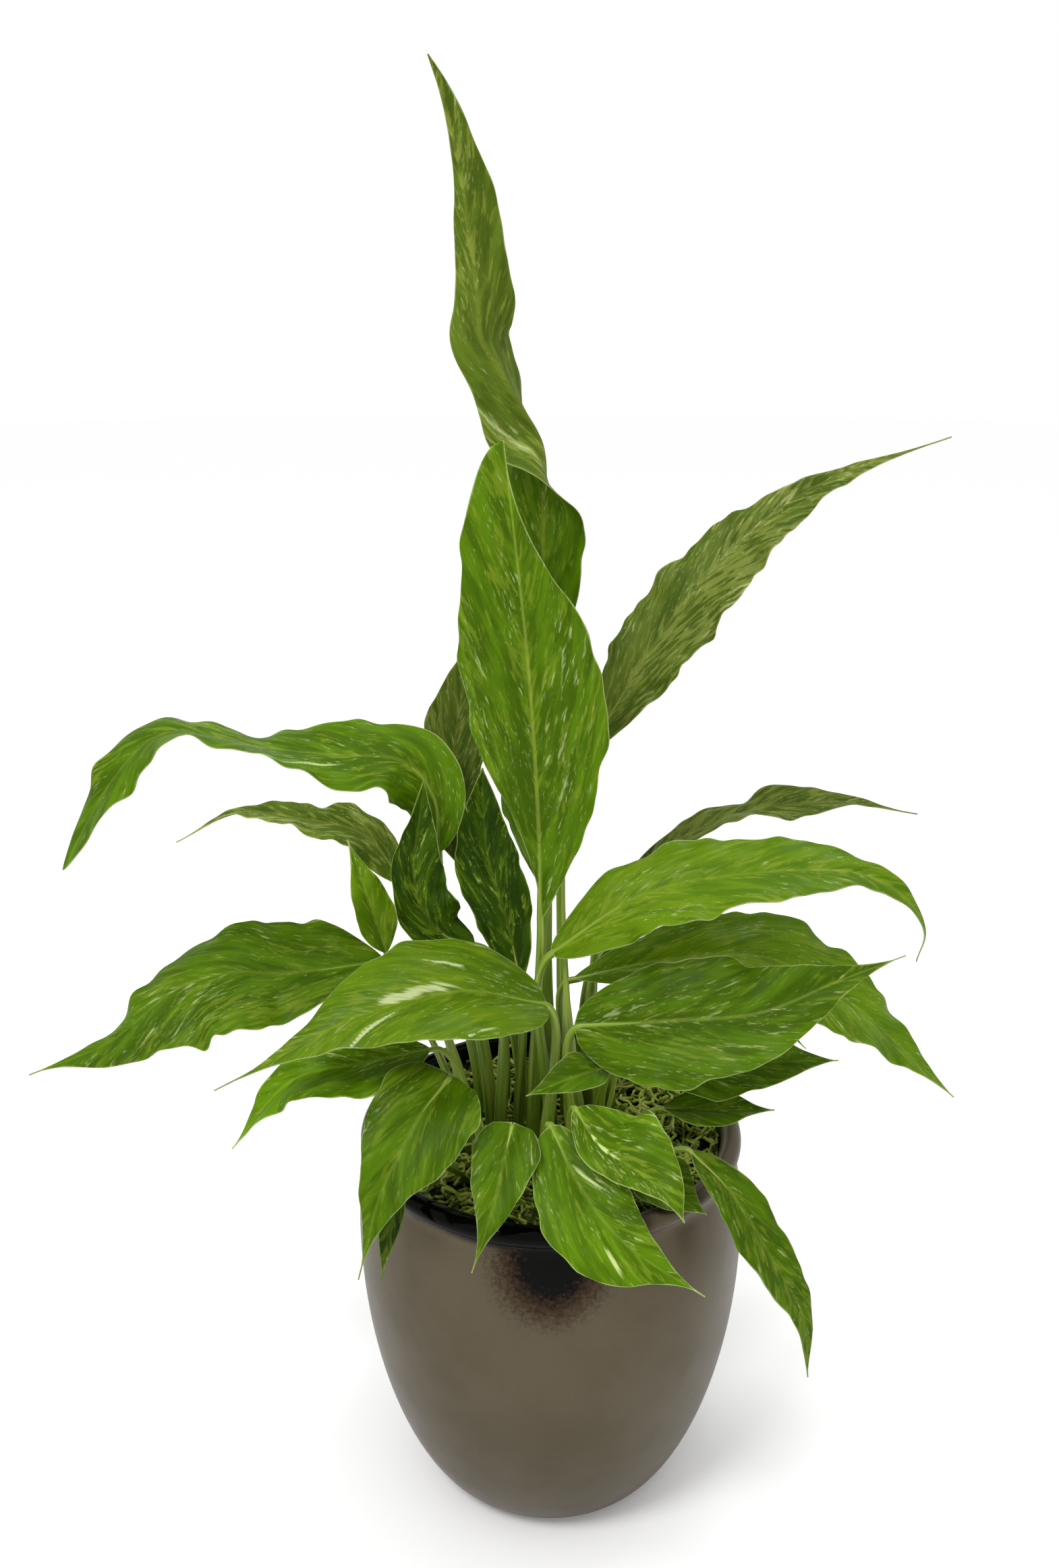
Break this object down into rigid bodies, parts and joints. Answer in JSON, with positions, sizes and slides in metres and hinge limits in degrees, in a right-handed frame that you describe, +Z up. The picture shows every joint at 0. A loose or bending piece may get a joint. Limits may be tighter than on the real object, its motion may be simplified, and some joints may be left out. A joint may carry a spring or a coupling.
{
  "type": "potted variegated peace lily",
  "caption": "Leafy pot plant with cream-flecked pointed leaves on slender stalks, rising from moss in a round glazed pot with a rolled lip.",
  "frame": {"origin": "centre of the pot's flat underside, on the surface it stands on", "axes": "+Z up along the pot's axis, the way the plant is tallest; -Y towards the plant's front"},
  "size_m": [0.3228, 0.2401, 0.4983],
  "materials": {
    "pot_glaze": "satin",
    "potting_mix": "matte",
    "moss": "matte",
    "stalk": "satin",
    "leaf_green": "satin",
    "leaf_bright": "satin",
    "leaf_dark": "satin",
    "leaf_grey": "satin"
  },
  "bodies": {
    "root": {"blade_back_left": "leaf_green", "blade_back_middle": "leaf_green", "blade_back_right": "leaf_green", "blade_back_right_low": "leaf_green", "blade_centre_left": "leaf_bright", "blade_centre_small": "leaf_green", "blade_centre_upright": "leaf_dark", "blade_front_left": "leaf_green", "blade_front_left_sliver": "leaf_dark", "blade_front_right": "leaf_green", "blade_front_right_upper": "leaf_green", "blade_front_small": "leaf_green", "blade_left_arching": "leaf_green", "blade_left_broad": "leaf_green", "blade_left_curled": "leaf_dark", "blade_left_slender": "leaf_grey", "blade_left_under": "leaf_green", "blade_left_young": "leaf_bright", "blade_rear_upright": "leaf_grey", "blade_right_broad": "leaf_green", "blade_right_hanging": "leaf_green", "blade_right_long": "leaf_bright", "blade_right_low": "leaf_green", "blade_right_rear": "leaf_grey", "blade_right_rim": "leaf_green", "blade_right_under": "leaf_green", "blade_right_upper": "leaf_bright", "blade_right_upswept": "leaf_grey", "blade_tall_back": "leaf_green", "blade_tall_front": "leaf_green", "moss": "moss", "new_leaf_spear": "stalk", "pot": "pot_glaze", "soil": "potting_mix", "stalk_back_left": "stalk", "stalk_back_middle": "stalk", "stalk_back_right": "stalk", "stalk_back_right_low": "stalk", "stalk_centre_left": "stalk", "stalk_centre_upright": "stalk", "stalk_front_left": "stalk", "stalk_front_right": "stalk", "stalk_front_right_upper": "stalk", "stalk_front_small": "stalk", "stalk_left_arching": "stalk", "stalk_left_broad": "stalk", "stalk_left_curled": "stalk", "stalk_left_slender": "stalk", "stalk_left_under": "stalk", "stalk_left_young": "stalk", "stalk_rear_upright": "stalk", "stalk_right_broad": "stalk", "stalk_right_hanging": "stalk", "stalk_right_long": "stalk", "stalk_right_rear": "stalk", "stalk_right_under": "stalk", "stalk_right_upper": "stalk", "stalk_right_upswept": "stalk", "stalk_tall_back": "stalk", "stalk_tall_front": "stalk"}
  },
  "joints": []
}
